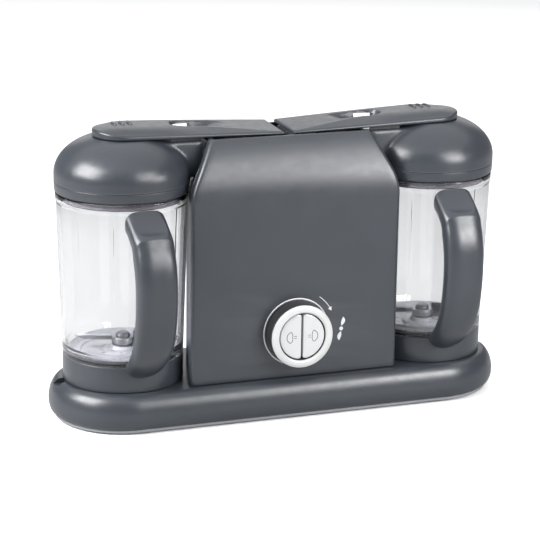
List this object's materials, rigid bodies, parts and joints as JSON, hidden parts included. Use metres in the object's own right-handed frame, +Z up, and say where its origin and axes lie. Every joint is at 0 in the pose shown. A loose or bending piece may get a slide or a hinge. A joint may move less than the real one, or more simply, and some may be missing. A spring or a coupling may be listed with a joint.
{
  "type": "baby food maker",
  "caption": "Countertop steamer and blender for baby food: a central column with a knob, clear handled bowls beside it, each with a blade and a domed steam lid on a hinged arm.",
  "frame": {"origin": "centre of the whole box, on the surface it stands on", "axes": "+X to the user's right along the base, +Z up; the user stands at -Y, where the knob and handles are"},
  "size_m": [0.399, 0.1546, 0.2466],
  "materials": {
    "slate": "satin slate grey",
    "trim": "light grey satin",
    "clear": "clear, polished",
    "seal": "soft dark silicone",
    "steel": "fine brushed",
    "gloss": "polished white",
    "inner": "moulded, unpainted",
    "board": "lacquered",
    "belt": "matt"
  },
  "bodies": {
    "root": {"base_plate": "trim", "base_screw_front_left": "steel", "base_screw_front_right": "steel", "base_screw_rear_left": "steel", "base_screw_rear_right": "steel", "base_shell": "slate", "button_spring_left": "steel", "button_spring_right": "steel", "control_board": "board", "cord_gland": "seal", "drive_belt_left": "belt", "drive_belt_right": "belt", "foot_front_left": "seal", "foot_front_right": "seal", "foot_rear_left": "seal", "foot_rear_right": "seal", "front_panel": "slate", "heater_left": "steel", "heater_right": "steel", "hinge_pin_left": "steel", "hinge_pin_right": "steel", "interlock_switch_left": "seal", "interlock_switch_right": "seal", "knob_bezel": "trim", "motor_can": "steel", "rear_shell": "slate", "spindle_bush_left": "inner", "spindle_bush_right": "inner", "top_deck": "slate", "water_tank_left": "inner", "water_tank_right": "inner"},
    "motor": {"motor_shaft": "steel"},
    "knob": {"knob_ring": "gloss"},
    "spindle_left": {"drive_spindle_left": "inner"},
    "blade_unit_left": {"blade_left": "steel", "blade_hub_left": "slate"},
    "lid_left": {"lid_arm_left": "slate", "lid_dome_left": "slate", "lid_ring_left": "slate", "lid_seal_left": "seal", "tank_stopper_left": "seal"},
    "bowl_unit_left": {"bowl_left": "clear", "bowl_band_left": "slate", "handle_left": "slate"},
    "button_left": {"steam_button_left": "gloss"},
    "spindle_right": {"drive_spindle_right": "inner"},
    "blade_unit_right": {"blade_right": "steel", "blade_hub_right": "slate"},
    "lid_right": {"lid_arm_right": "slate", "lid_dome_right": "slate", "lid_ring_right": "slate", "lid_seal_right": "seal", "tank_stopper_right": "seal"},
    "bowl_unit_right": {"bowl_right": "clear", "bowl_band_right": "slate", "handle_right": "slate"},
    "button_right": {"steam_button_right": "gloss"}
  },
  "joints": [
    {"name": "motor_spin", "type": "hinge", "parent": "root", "child": "motor", "pos_m": [0, 0.02236, 0.1], "axis": [0, 0, 1], "continuous": true},
    {"name": "knob_turn", "type": "hinge", "parent": "root", "child": "knob", "pos_m": [0, -0.03464, 0.0736], "axis": [0, 1, 0], "range_deg": [0, 40], "stiffness_Nm_per_rad": 0.05, "springref_deg": -5.73},
    {"name": "spindle_left_spin", "type": "hinge", "parent": "root", "child": "spindle_left", "pos_m": [-0.1365, 0.01436, 0.03], "axis": [0, 0, 1], "continuous": true},
    {"name": "blade_left_spin", "type": "hinge", "parent": "root", "child": "blade_unit_left", "pos_m": [-0.1365, 0.01436, 0.06], "axis": [0, 0, 1], "continuous": true},
    {"name": "lid_left_hinge", "type": "hinge", "parent": "root", "child": "lid_left", "pos_m": [-0.0105, 0.01436, 0.232], "axis": [0, 1, 0], "range_deg": [0, 85]},
    {"name": "bowl_left_twist", "type": "hinge", "parent": "root", "child": "bowl_unit_left", "pos_m": [-0.1365, 0.01436, 0.034], "axis": [0, 0, 1], "range_deg": [-28, 0]},
    {"name": "steam_button_left_press", "type": "slide", "parent": "root", "child": "button_left", "axis": [0, 1, 0], "range_m": [0, 0.002], "stiffness_N_per_m": 400, "springref_m": -0.001, "deforming": ["button_spring_left"]},
    {"name": "spindle_right_spin", "type": "hinge", "parent": "root", "child": "spindle_right", "pos_m": [0.1365, 0.01436, 0.03], "axis": [0, 0, 1], "continuous": true},
    {"name": "blade_right_spin", "type": "hinge", "parent": "root", "child": "blade_unit_right", "pos_m": [0.1365, 0.01436, 0.06], "axis": [0, 0, 1], "continuous": true},
    {"name": "lid_right_hinge", "type": "hinge", "parent": "root", "child": "lid_right", "pos_m": [0.0105, 0.01436, 0.232], "axis": [0, -1, 0], "range_deg": [0, 85]},
    {"name": "bowl_right_twist", "type": "hinge", "parent": "root", "child": "bowl_unit_right", "pos_m": [0.1365, 0.01436, 0.034], "axis": [0, 0, 1], "range_deg": [0, 28]},
    {"name": "steam_button_right_press", "type": "slide", "parent": "root", "child": "button_right", "axis": [0, 1, 0], "range_m": [0, 0.002], "stiffness_N_per_m": 400, "springref_m": -0.001, "deforming": ["button_spring_right"]}
  ],
  "couplings": [
    {"joint": "spindle_left_spin", "follows": "motor_spin", "ratio": 0.6},
    {"joint": "blade_left_spin", "follows": "motor_spin", "ratio": 0.6},
    {"joint": "spindle_right_spin", "follows": "motor_spin", "ratio": 0.6},
    {"joint": "blade_right_spin", "follows": "motor_spin", "ratio": 0.6}
  ]
}
